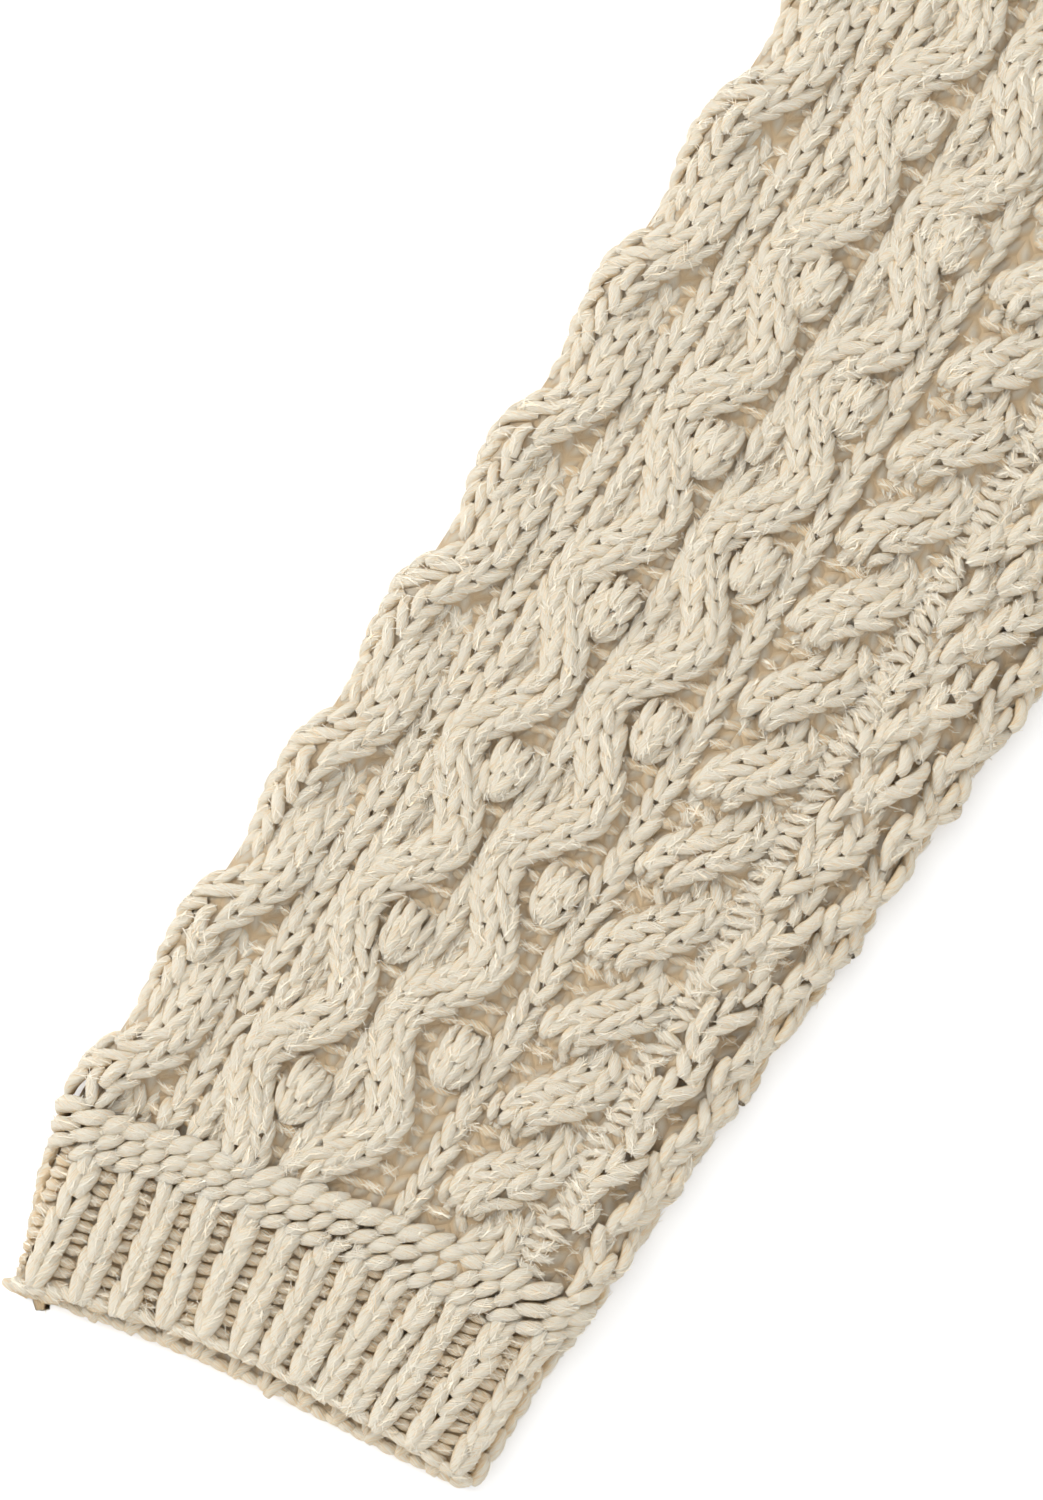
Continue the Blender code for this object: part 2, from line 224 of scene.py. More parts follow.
def section(s):
    """(start, end, radius, middle, roll) of the ground: flat from start to end, folds beyond."""
    top = 6.3 + 2.3 * ease((s - 8) / 45)
    radius = (top - UNDERSIDE) / 2
    roll = mix(INNER_ROLL, 2.5, ease((s - UNDERARM_ALONG + 60) / 60))
    start = outer_edge(s) + OUTER_RELIEF + radius
    end = np.maximum(inner_edge(s) - INNER_RELIEF * roll / INNER_ROLL - roll, start + 0.5)
    return start, end, radius, (top + UNDERSIDE) / 2, roll


def roll_length(radius, roll):
    return math.pi * np.sqrt((radius**2 + roll**2) / 2)


def on_sleeve(u, s, h):
    """Frame points (millimetres) of chart points: h above the ground of the knitting."""
    u, s, h = np.broadcast_arrays(
        np.asarray(u, float), np.asarray(s, float), np.asarray(h, float)
    )
    start, end, radius, middle, roll = section(s)
    turn = np.clip((start - u) / radius, 0, math.pi)
    under = np.clip(start - u - math.pi * radius, 0, None)
    fall = math.pi * np.clip((u - end) / roll_length(radius, roll), 0, 1)
    tilt = np.stack((np.sin(fall) / roll, np.cos(fall) / radius))
    tilt = tilt / np.linalg.norm(tilt, axis=0)
    outer = u < start
    inner = u > end
    across = np.where(outer, start + under - (radius + h) * np.sin(turn), u)
    across = np.where(inner, end + roll * np.sin(fall) + h * tilt[0], across)
    height = np.where(outer, middle + (radius + h) * np.cos(turn), middle + radius + h)
    height = np.where(inner, middle + radius * np.cos(fall) + h * tilt[1], height)
    plane = CORNER + s[..., None] * ALONG + across[..., None] * ACROSS
    return np.concatenate((plane, height[..., None]), axis=-1)


def on_lip(u, s, h):
    """Frame points of the cuff's under layer, where it shows past the upper one."""
    plane = CORNER + s[..., None] * ALONG + u[..., None] * ACROSS
    return np.concatenate((plane, (2.6 + h)[..., None]), axis=-1)


# Yarn


def add_object(name, contents):
    made = bpy.data.objects.new(name, contents)
    bpy.context.scene.collection.objects.link(made)
    return made


def numbered(points):
    """The vertex number of each point of a grid."""
    return np.arange(points[..., 0].size).reshape(points.shape[:-1])


def smooth_mesh(name, points, faces, shader):
    points = points.reshape(-1, 3)
    faces = faces.reshape(-1, 4)
    mesh = bpy.data.meshes.new(name)
    mesh.vertices.add(len(points))
    mesh.vertices.foreach_set("co", np.asarray(points * MM, np.float32).ravel())
    mesh.loops.add(faces.size)
    mesh.polygons.add(len(faces))
    starts = np.arange(0, faces.size, faces.shape[1], dtype=np.int32)
    mesh.polygons.foreach_set("loop_start", starts)
    mesh.loops.foreach_set("vertex_index", np.asarray(faces, np.int32).ravel())
    mesh.update(calc_edges=True)
    mesh.shade_smooth()
    mesh.materials.append(shader)
    made = add_object(name, mesh)
    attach(made, "root")
    return made


def attribute(made, name, kind, values):
    layer = made.data.attributes.new(name, kind, "POINT")
    field = "vector" if kind == "FLOAT_VECTOR" else "value"
    layer.data.foreach_set(field, np.asarray(values, np.float32).ravel())


def unit(vectors):
    return vectors / np.linalg.norm(vectors, axis=-1, keepdims=True)


def yarn_mesh(name, stitches, place, shader):
    """Each stitch is a short tapered yarn along its own line of chart points."""
    u, s, h, r, painted_shade = (np.concatenate([part[i] for part in stitches]) for i in range(5))
    centre = place(u, s, h)
    normal = unit(place(u, s, h + 1) - centre)
    tangent = np.gradient(centre, axis=1)
    run = np.cumsum(np.linalg.norm(tangent, axis=-1), axis=1)
    side = unit(np.cross(tangent, normal))
    up = unit(np.cross(side, tangent))
    turn = (np.arange(SIDES) + 0.5) / SIDES
    angle = 2 * math.pi * turn - math.pi / 2
    lift = np.sin(angle)
    ring = side[:, :, None] * np.cos(angle)[:, None] + up[:, :, None] * lift[:, None]
    points = centre[:, :, None] + ring * r[..., None, None]
    points[..., 2] = np.maximum(points[..., 2], REST)
    index = numbered(points)
    here = index[:, :-1]
    there = index[:, 1:]
    faces = np.stack(
        (there, np.roll(there, -1, axis=2), np.roll(here, -1, axis=2), here), axis=-1
    )
    made = smooth_mesh(name, points, faces, shader)
    tone = np.broadcast_to(rng.random(len(u))[:, None, None], index.shape)
    run = np.broadcast_to(run[..., None], index.shape)
    turn = np.broadcast_to(turn, index.shape)
    attribute(made, "yarn", "FLOAT_VECTOR", np.stack((turn, run, tone), axis=-1))
    # Painted warm shade on the underside of each yarn, added to the painted shade of its stitch.
    low = np.clip(0.42 - 0.9 * lift, 0, 1)
    attribute(made, "painted_shade", "FLOAT", np.clip(painted_shade[..., None] + low, 0, 1))
    return made


def fibre_mesh(name, stitches, place, shader):
    """Loose fibres: narrow strips that lie over the stitches at a slant to them."""
    u, s, h, r = (np.concatenate([part[i] for part in stitches]) for i in range(4))
    pick = rng.integers(0, len(u), FIBRES)
    at = rng.integers(1, SPANS, FIBRES)
    near = np.arctan2(s[pick, at + 1] - s[pick, at - 1], u[pick, at + 1] - u[pick, at - 1])
    way = (near + rng.normal(0, 0.45, FIBRES))[:, None]
    bend = rng.normal(0, 0.3, (FIBRES, 1))
    q = np.linspace(-1, 1, FIBRE_SPANS + 1)
    reach = rng.uniform(0.8, 2.0, (FIBRES, 1)) * q
    fu = u[pick, at][:, None] + reach * np.cos(way) - bend * q**2 * np.sin(way)
    fs = s[pick, at][:, None] + reach * np.sin(way) + bend * q**2 * np.cos(way)
    crown = (h[pick, at] + r[pick, at] + rng.uniform(-0.05, 0.3, FIBRES))[:, None]
    centre = place(fu, fs, crown - 0.35 * q**2)
    normal = unit(place(fu, fs, crown + 1) - place(fu, fs, crown))
    side = unit(np.cross(np.gradient(centre, axis=1), normal)) * FIBRE_HALF
    points = np.stack((centre - side, centre + side), axis=2)
    points[..., 2] = np.maximum(points[..., 2], REST)
    index = numbered(points)
    faces = np.stack(
        (index[:, :-1, 0], index[:, :-1, 1], index[:, 1:, 1], index[:, 1:, 0]), axis=-1
    )
    made = smooth_mesh(name, points, faces, shader)
    tone = np.repeat(rng.random(FIBRES), index[0].size)
    attribute(made, "yarn", "FLOAT_VECTOR", np.stack((tone, tone, tone), axis=-1))
    attribute(made, "painted_shade", "FLOAT", np.zeros(index.size))
    return made


def legs(wale, length=1.42, thick=YARN, jitter=0.2, painted_shade=0.0, low=0.14, high=0.78):
    """The two slanting legs of every knit stitch up a wale. low and high are how far out a leg
    starts and ends, as shares of half the wale."""
    s, u, h, half, shown, tilt = wale
    arc = np.concatenate(([0], np.cumsum(np.hypot(np.diff(u), np.diff(s)))))
    first = np.interp(s[0] + BEYOND, s, arc)
    last = np.interp(s[-1] - BEYOND, s, arc)
    count = max(int((last - first) / ROW + 0.5), 1)
    bottom = first + (np.arange(count) + rng.uniform(0, 0.4)) * (last - first) / count
    q = np.linspace(0, 1, SPANS + 1)
    lean_u = np.gradient(u, arc)
    lean_s = np.gradient(s, arc)
    found = []
    for side in (-1, 1):
        start = bottom[np.interp(bottom + ROW / 2, arc, shown) > 0.5]
        many = len(start)
        if not many:
            continue
        at = start[:, None] + q * ROW * length * rng.normal(1, 0.05, (many, 1)) - ROW * 0.2
        spread = mix(low, high, ease(q)) + rng.normal(0, 0.09, (many, 1))
        off = side * np.interp(at, arc, half) * spread
        bu = np.interp(at, arc, u) + np.interp(at, arc, lean_s) * off
        bs = np.interp(at, arc, s) - np.interp(at, arc, lean_u) * off
        bs = bs + rng.normal(0, jitter, (many, 1))
        dive = 0.3 - 0.3 * np.sin(math.pi * q) ** 0.8 + 0.9 * q**3
        bh = np.interp(at, arc, h) + tilt * off - dive + rng.normal(0, jitter, (many, 1))
        br = thick * (0.66 + 0.34 * np.sin(math.pi * q) ** 0.7) * rng.normal(1, 0.09, (many, 1))
        # The deeper a leg dives, the more painted shade it carries.
        found.append((bu, bs, bh, br, np.broadcast_to(painted_shade + 0.3 * dive, bu.shape)))
    return found


def bump(u, s, h, long, slant, thick, painted_shade, arch=0.9):
    """Short yarns lying across: one for each centre (u, s), slanting up by the angle slant."""
    u, s, h, slant = (np.atleast_1d(np.asarray(v, float)) for v in (u, s, h, slant))
    many = max(len(u), len(s))
    if not many:
        return []
    u, s, h, slant = (np.broadcast_to(v, many)[:, None] for v in (u, s, h, slant))
    slant = slant + rng.normal(0, 0.12, (many, 1))
    q = np.linspace(-1, 1, SPANS + 1)
    reach = long / 2 * q * rng.normal(1, 0.06, (many, 1))
    bu = u + reach * np.cos(slant) + rng.normal(0, 0.12, (many, 1))
    bs = s + reach * np.sin(slant) + rng.normal(0, 0.12, (many, 1))
    bh = h - arch * q**2
    br = thick * (1 - 0.45 * np.abs(q) ** 2.2) * rng.normal(1, 0.05, (many, 1))
    # Each yarn carries the painted shade it is given.
    return [(bu, bs, bh, br, np.full_like(bu, painted_shade))]


def wale(centre, height, low, high, half, shown=None, tilt=0.0):
    """A column of knit stitches: its line, its height, half its width, where it shows, and how
    much it rises from its left to its right."""
    s = np.arange(low - BEYOND, high + BEYOND, 0.8)
    u = centre(s) if callable(centre) else np.full_like(s, centre)
    h = height(s) if callable(height) else np.full_like(s, height)
    seen = shown(s) if shown else np.ones_like(s)
    return s, u, h, np.full_like(s, half), seen, tilt


def strand(centre, height, low, high, width, crown, shown=None):
    """Two wales that travel together, lower towards the strand's edges."""
    found = []
    for side in (-1, 1):

        def line(s, side=side):
            slope = (centre(s + 0.4) - centre(s - 0.4)) / 0.8
            return centre(s) + side * width / 2 * np.sqrt(1 + slope**2)

        def level(s):
            return height(s) - crown / 4

        tilt = -side * crown / width
        found.append(wale(line, level, low, high, width / 2, shown, tilt))
    return found


def still(s):
    """No drift."""
    return 0.0 * s


def rope(centre, reach, period, over_at, cross, low, high, width, base, rise, drift=still):
    """A cable of two strands. The left one crosses over to the right every period."""
    found = []
    for shift in (over_at, over_at + period):

        def cycle(s, shift=shift):
            return (s - shift + period / 2) % (2 * period) - period / 2

        def place(s, cycle=cycle):
            to_right = ease(cycle(s) / cross + 0.5)
            to_left = ease((cycle(s) - period) / cross + 0.5)
            return centre + drift(s) + reach * (2 * (to_right - to_left) - 1)

        def level(s, cycle=cycle):
            over = np.clip(1 - np.abs(cycle(s) / cross), 0, 1)
            under = np.clip(1 - np.abs((cycle(s) - period) / cross), 0, 1)
            return base + rise * ease(over * 1.6) - 1.8 * rise * ease(under * 2)

        def seen(s, cycle=cycle):
            return (np.abs(cycle(s) - period) > 0.27 * cross).astype(float)

        found += strand(place, level, low, high, width, 1.7, seen)
    return found


def wave(centre, reach, right_at, low, high):
    """One strand that swings from side to side."""

    def place(s):
        swing = np.cos(2 * math.pi * (s - right_at) / CABLE)
        return centre + reach * np.arcsin(0.6 * swing) / math.asin(0.6)

    def level(s):
        return 3.1 + 0.4 * np.cos(2 * math.pi * (s - right_at) / CABLE)

    return strand(place, level, low, high, 4.7, 1.5)


def bobble(u, s):
    """A knot of stitches that stands out as an oval."""
    found = []
    for side in (-1, 0, 1):

        def round_off(x):
            return np.sqrt(np.clip(1 - ((x - s) / 6.8) ** 2, 0.02, 1))

        def line(x, side=side):
            return u + 2.6 * side * round_off(x)

        def level(x, side=side):
            return 0.1 + (4.1 - 0.9 * abs(side)) * round_off(x)

        column = wale(line, level, s - 6.6, s + 4.2, 1.8, None, -0.45 * side)
        found += legs(column, 1.4, 1.3)
    return found


# The chart of a sleeve


def braid_line(u):
    """The lower edge of the braid that tops the cuff."""
    return np.interp(u, (-14, -7, 20, 40, 60, 80, 100), (27, 30, 38, 41, 45, 49, 52.5))


def braid_top(u):
    return np.interp(u, (-14, -10, 10, 20, 40, 60, 80, 90, 105), (38, 39, 44, 47, 51, 56, 59, 60, 61))


def seam_line(s):
    """The groove where the sleeve's two edges are sewn together."""
    return inner_edge(s) - 9.5 - 1.5 * np.clip((90 - s) / 60, 0, 1)


def drift(s):
    """How far the inner columns have moved towards the outer fold."""
    return -0.032 * (np.clip(s, 40, CHART_HIGH) - 150)


def panels(low, high):
    """The wales of the chart, by panel. Each starts at low of its place across."""
    return {
        "outer_cable": rope(-3.4, 4.1, CABLE, 130.5, 20, low(-4), high, 4.9, 2.5, 1.3),
        "outer_wave": [
            wale(8.8, 1.2, low(9), high, 2.6),
            wale(14.6, 1.4, low(15), high, 2.2),
            wale(18.6, 0.2, low(19), high, 1.9),
            *wave(20.9, 4.4, 124.2, low(20), high),
        ],
        "inner_wave": [
            wale(34.2, 1.3, low(34), high, 2.2),
            wale(38.4, 0.2, low(38), high, 1.9),
            *wave(40.6, 4.6, 145.6, low(42), high),
            wale(lambda s: 55.6 + drift(s), 1.2, low(55), high, 2.7),
        ],
        "inner_cable": rope(69.4, 5.6, CABLE / 2, 131, 18.5, low(69), high, 5.1, 2.5, 1.5, drift),
    }


def purls(u, long=5.1):
    """A column of purl bumps, which lie across."""
    s = np.arange(float(braid_top(u)) - 1, CHART_HIGH, ROW)
    # Purl bumps carry painted shade, as they lie low between the strands.
    return bump(np.full_like(s, u), s, 0.0, long, 0.12, 1.35, 0.6, 0.6)


def loose_column(offset, crest_at):
    """A column of loose knit stitches beside the seam, lumpy over every four rows."""

    def line(s):
        return seam_line(s) + offset + 1.1 * np.sin(2 * math.pi * (s - crest_at) / (4 * ROW))

    def level(s):
        return 1.6 + 1.2 * np.cos(2 * math.pi * (s - crest_at) / (4 * ROW))

    def shown(s):
        return (seam_line(s) + offset > 84.5 + drift(s)).astype(float)

    low = float(braid_top(95 + offset)) - 1
    return legs(wale(line, level, low, CHART_HIGH, 2.7, shown), 1.45, 1.5, 0.5)


def moss():
    """Frills, then loose columns on both sides of the seam's groove."""
    found = []
    s = np.arange(float(braid_top(83)) - 1, CHART_HIGH, 2.7)
    for offset, height in ((0.0, 1.6), (1.9, 0.7)):
        slant = rng.normal(0.1, 0.5, len(s))
        found += bump(82.9 - offset + drift(s), s + offset, height, 4.6, slant, 1.15, 0.05)
    for number in range(7):
        found += loose_column(-3.6 - 4.6 * number, 106.0 + 9.5 * number)
    for number in range(4):
        found += loose_column(3.6 + 4.5 * number, 100.0 + 9.5 * number)
    # The seam's groove and its sides carry deep painted shade.
    s = np.arange(float(braid_top(92)) - 1, CHART_HIGH, ROW)
    found += bump(seam_line(s), s, -1.4, 3.6, 0.5, 1.2, 1.0)
    for offset in (-4.0, 4.2):
        found += bump(seam_line(s) + offset, s, -0.2, 4.6, 0.2, 1.3, 0.9)
    return found


def right_sleeve():
    """Groups of stitches by panel, from the outer fold to the seam."""
    groups = {}
    for name, wales in panels(lambda u: float(braid_top(u)) - 1, CHART_HIGH).items():
        groups[name] = [part for item in wales for part in legs(item)]
    groups["outer_cable"] += purls(5.8, 4.9)
    for u in (12.0, 23.5, 27.2, 30.8):
        groups["outer_wave"] += purls(u)
    for u in (44.0, 47.4, 50.8):
        groups["inner_wave"] += purls(u)
    for number in range(8):
        row = FIRST_BOBBLE + number * CABLE
        groups["outer_wave"] += bobble(BOBBLE_U + drift(row) / 3, row)
    for number in range(7):
        row = INNER_BOBBLE + number * CABLE
        groups["inner_wave"] += bobble(INNER_BOBBLE_U + drift(row), row)
    for u in (59.8, 64.0, 76.6, 80.4):
        groups["inner_cable"] += purls(u)
    groups["moss"] = moss()
    return groups


def cuff_low(u):
    return CUFF_CORNER_ALONG * (1 - (1 - np.clip(u / INNER_EDGE, 0, 1)) ** 2.6)


def lip_low(u):
    share = np.clip(u / INNER_EDGE, 0, 1)
    return cuff_low(u) - CUFF_LIP * np.sin(math.pi * share) ** 0.6


def rib_half(number):
    """Half the width of a rib: its share of the room between its neighbours, less the valleys."""
    last = len(RIB_LOW_U) - 1
    low, high = max(number - 1, 0), min(number + 1, last)
    room = (RIB_LOW_U[high] - RIB_LOW_U[low] + RIB_HIGH_U[high] - RIB_HIGH_U[low]) / 2 / (high - low)
    return min(max((room - VALLEY) / 2, 2.0), 2.65)


def cuff_stitches():
    """Ribs that fan with the cuff, the purl valleys between them, and the braid above."""
    ribs = []
    lines = list(zip(RIB_LOW_U, RIB_HIGH_U))
    for number, (low_u, high_u) in enumerate(lines):
        low = float(cuff_low(low_u)) + 0.6
        high = float(braid_line(high_u)) + 2

        def line(s, ends=(low_u, high_u), low=low, high=high):
            return mix(*ends, (s - low) / (high - low))

        rib = wale(line, 1.7, low, high - 2, rib_half(number))
        ribs += legs(rib, 1.45, 1.62, low=0.22, high=0.68)
        if number + 1 < len(lines):
            gap = mix(lines[number + 1][0] - low_u, lines[number + 1][1] - high_u, 0.5) / 2
            s = np.arange(low + 1, high, ROW * 0.55)
            # Purl bumps in the valleys between ribs carry painted shade.
            ribs += bump(line(s) + gap, s, 0.0, 4.4, 0.35, 1.3, 0.45, 0.3)
    # The cast-on edge, with a little painted shade.
    u = np.arange(-1.0, 101.0, 3.1)
    ribs += bump(u, cuff_low(u) + 1.3, 0.9, 4.4, 0.12, 1.45, 0.1, 0.8)
    braid = []
    for share, thick, long in ((0.05, 1.6, 6.2), (0.42, 1.7, 6.4), (0.82, 2.0, 7.4)):
        u = np.arange(-20, 116, 4.4) + share * 9
        s = mix(braid_line(u), braid_top(u), share)
        braid += bump(u, s, 2.3 + 0.7 * share, long, 0.82, thick, 0.0, 1.5)
    return {"cuff_ribs": ribs, "cuff_braid": braid}


def lip_stitches():
    """The ends of the under layer's ribs."""
    found = []
    for u in np.arange(3.0, 99.0, 7.4):
        low = float(lip_low(u)) + 0.6
        # The under layer's stitches carry painted shade.
        found += legs(wale(u, 1.0, low, float(cuff_low(u)) + 1, 2.7), 1.5, 1.35, painted_shade=0.25)
        found += bump(u + 3.7, low + 1.5, -0.4, 3.6, 0.2, 1.1, 0.7)
    u = np.arange(1.0, 100.0, 3.1)
    return found + bump(u, lip_low(u) + 1.2, 0.4, 4.4, 0.12, 1.35, 0.3, 0.8)


# Materials


def new_material(name):
    """(material, its tree, its surface)."""
    shader = bpy.data.materials.new(name)
    shader.use_nodes = True
    return shader, shader.node_tree, shader.node_tree.nodes["Principled BSDF"]


def set_inputs(node, values):
    for name, value in values.items():
        node.inputs[name].default_value = value


def math_node(tree, operation, *values):
    node = tree.nodes.new("ShaderNodeMath")
    node.operation = operation
    for socket, value in zip(node.inputs, values):
        if isinstance(value, (int, float)):
            socket.default_value = value
        else:
            tree.links.new(value, socket)
    return node.outputs[0]


def read_attribute(tree, name):
    node = tree.nodes.new("ShaderNodeAttribute")
    node.attribute_name = name
    return node


def noise_texture(tree, place, settings):
    node = tree.nodes.new("ShaderNodeTexNoise")
    set_inputs(node, settings)
    tree.links.new(place, node.inputs["Vector"])
    return node.outputs["Fac"]


def mixed(tree, share, first, second, blend="MIX"):
    """The first colour, or link, turned into the second colour by a share of 0 to 1."""
    node = tree.nodes.new("ShaderNodeMix")
    node.data_type = "RGBA"
    node.blend_type = blend
    tree.links.new(share, node.inputs[0])
    if isinstance(first, tuple):
        node.inputs[6].default_value = (*first, 1)
    else:
        tree.links.new(first, node.inputs[6])
    node.inputs[7].default_value = (*second, 1)
    return node.outputs[2]


def wool_material(name):
    """(material, its tree, its surface) of matt wool."""
    shader, tree, surface = new_material(name)
    set_inputs(surface, {
        "Roughness": 0.95,
        "Specular IOR Level": 0.15,
        "Sheen Weight": 0.35,
        "Sheen Tint": (1.0, 0.9, 0.76, 1),
        "Sheen Roughness": 0.5,
    })
    return shader, tree, surface


def wool_colour(tree, streaks_and_painted_shade, cream, tan):
    """Cream on the crowns of the stitches, and tan as painted warm shade in the hollows and the pits.
    """
    painted_shade = read_attribute(tree, "painted_shade").outputs["Fac"]
    return mixed(tree, math_node(tree, "ADD", painted_shade, streaks_and_painted_shade), cream, tan)


def relief(tree, height, depth, surface):
    node = tree.nodes.new("ShaderNodeBump")
    set_inputs(node, {"Strength": 1.0, "Distance": depth * MM})
    tree.links.new(height, node.inputs["Height"])
    tree.links.new(node.outputs[0], surface.inputs["Normal"])


def fibres(tree, across, along, tone):
    """Noise drawn out along the yarn."""
    spread = tree.nodes.new("ShaderNodeCombineXYZ")
    for socket, value, scale in zip(spread.inputs, (across, along, tone), (6.0, 0.24, 40.0)):
        tree.links.new(math_node(tree, "MULTIPLY", value, scale), socket)
    return noise_texture(tree, spread.outputs[0], {"Scale": 1.6, "Detail": 5.0, "Roughness": 0.65})


def yarn_material():
    """Three plies wind round each yarn, and fibres run along them."""
    shader, tree, surface = wool_material("wool_yarn")
    surface.subsurface_method = "BURLEY"
    set_inputs(surface, {
        "Subsurface Weight": 0.5,
        "Subsurface Radius": (1.0, 0.82, 0.58),
        "Subsurface Scale": 1.2 * MM,
    })
    parts = tree.nodes.new("ShaderNodeSeparateXYZ")
    tree.links.new(read_attribute(tree, "yarn").outputs["Vector"], parts.inputs[0])
    turn, run, tone = parts.outputs
    phase = math_node(tree, "MULTIPLY_ADD", run, 0.2, math_node(tree, "MULTIPLY", turn, 3.0))
    ply = math_node(tree, "SINE", math_node(tree, "MULTIPLY", phase, 2 * math.pi))
    noise = fibres(tree, phase, run, tone)
    # Random fibre streaks. The tan they mix towards is painted warm shade.
    streaks_and_painted_shade = math_node(tree, "MULTIPLY", math_node(tree, "SUBTRACT", 0.5, noise), 4.2)
    colour = wool_colour(tree, streaks_and_painted_shade, YARN_CREAM, YARN_PAINTED_SHADE_TAN)
    tree.links.new(colour, surface.inputs["Base Color"])
    relief(tree, math_node(tree, "MULTIPLY_ADD", ply, 0.14, noise), 4.2, surface)
    return shader


def knit_material():
    """Stitches shown as relief: V shapes in columns, with painted shade in their hollows. Relief
    throws little shadow, so painted shade deepens the colour where no yarns cover it."""
    shader, tree, surface = wool_material("wool_knit")
    parts = tree.nodes.new("ShaderNodeSeparateXYZ")
    tree.links.new(read_attribute(tree, "stitch").outputs["Vector"], parts.inputs[0])
    wales, rows, slant = parts.outputs
    share = math_node(tree, "FRACT", wales)
    away = math_node(tree, "ABSOLUTE", math_node(tree, "SUBTRACT", share, 0.5))
    lean = math_node(tree, "MULTIPLY", away, slant)
    turn = math_node(tree, "MULTIPLY", math_node(tree, "SUBTRACT", rows, lean), math.pi)
    leg = math_node(tree, "ABSOLUTE", math_node(tree, "SINE", turn))
    wide = math_node(tree, "SINE", math_node(tree, "MULTIPLY", away, 2 * math.pi))
    height = math_node(tree, "MULTIPLY", leg, math_node(tree, "MULTIPLY_ADD", wide, 0.6, 0.4))
    noise = fibres(tree, wales, rows, rows)
    crown = math_node(tree, "MULTIPLY_ADD", noise, 0.5, height)
    # Painted shade in the hollows between the legs, plus fibre streaks.
    streaks_and_painted_shade = math_node(tree, "MULTIPLY", math_node(tree, "SUBTRACT", 0.85, crown), 1.1)
    colour = wool_colour(tree, streaks_and_painted_shade, KNIT_CREAM, KNIT_PAINTED_SHADE_TAN)
    # Painted shade: darker where no yarns cover the ground to throw shadow.
    uncovered_painted_shade = read_attribute(tree, "uncovered_painted_shade").outputs["Fac"]
    colour = mixed(tree, uncovered_painted_shade, colour, UNCOVERED_PAINTED_SHADE, "MULTIPLY")
    tree.links.new(colour, surface.inputs["Base Color"])
    relief(tree, crown, 2.6, surface)
    return shader


# Shells: the ground of each panel, with the chart as relief


def charted(low, bobble_row, inner_row, u, s):
    """How far the chart's strands stand above the ground at (u, s). The panels start at low, and
    each column of bobbles at its own row."""
    wales = [item for group in panels(lambda _: low, CHART_TOP).values() for item in group]
    first = min(bobble_row, inner_row)
    bobbles = []
    for up in np.arange(first, BOBBLES_TO, CABLE) - first:
        bobbles += [(BOBBLE_U, bobble_row + up), (INNER_BOBBLE_U, inner_row + up)]
    high = np.zeros(u.shape)
    for at, across, level, half, shown, tilt in wales:
        inside = (s > at[0] + BEYOND - 2) & (s < at[-1] - BEYOND + 2)
        aside = u - np.interp(s, at, across)
        off = np.abs(aside) / (np.interp(s, at, half) + 1.2)
        seen = np.interp(s, at, shown) > 0.5
        here = np.interp(s, at, level) + tilt * aside - 0.9 * off**2
        high = np.maximum(high, np.where(inside & seen & (off < 1.6), here, 0))
    for centre, row in bobbles:
        off = ((u - centre) / 4.2) ** 2 + ((s - row) / 5.6) ** 2
        high = np.maximum(high, 4.0 * np.sqrt(np.clip(1 - off, 0, 1)))
    return high


def moss_relief(u, s):
    return 1.0 + 0.8 * np.sin(math.pi * u / 5.6) * np.sin(math.pi * s / ROW)


def grid_faces(index, closed=False):
    """Quads of a grid of vertex numbers, closed across where it is a tube."""
    last = np.roll(index, -1, axis=1) if closed else index[:, 1:]
    first = index if closed else index[:, :-1]
    quads = np.stack((first[:-1], last[:-1], last[1:], first[1:]), axis=-1)
    return quads.reshape(-1, 4)


def finish_shell(made, stitch, painted_shade, uncovered_painted_shade=None):
    attribute(made, "stitch", "FLOAT_VECTOR", stitch)
    attribute(made, "painted_shade", "FLOAT", painted_shade)
    # By default painted shade deepens the whole shell.
    if uncovered_painted_shade is None:
        uncovered_painted_shade = np.ones(len(made.data.vertices))
    attribute(made, "uncovered_painted_shade", "FLOAT", uncovered_painted_shade)
    return made


def tube_grid(low, high, rows, columns):
    """(u, s) of a grid all round a sleeve, from its low edge to its high one."""
    share = np.linspace(0, 1, columns, endpoint=False)[None]
    part = np.linspace(0, 1, rows)[:, None]
    s = np.full((rows, columns), 30.0)
    for _ in range(3):
        start, end, radius, middle, roll = section(s)
        first = start - math.pi * radius - (end - start)
        u = mix(first, end + roll_length(radius, roll), share)
        under = start - math.pi * radius - u
        across = np.where(under > 0, start + under, np.clip(u, start - radius, end + roll))
        s = mix(low(across, under > 0), high(across, under > 0), part)
    return u, s


def inner_skin(u, s):
    """The inside of a pressed sleeve's cloth."""
    points = on_sleeve(u, s, 0)
    start, end, radius, middle, roll = section(s)
    centre = (start + end) / 2
    across = (points[..., :2] - CORNER) @ ACROSS - centre
    inset = -across * INNER_INSET / ((end - start) / 2 + roll)
    points[..., :2] += inset[..., None] * ACROSS
    points[..., 2] = middle + 0.12 * (points[..., 2] - middle)
    return points


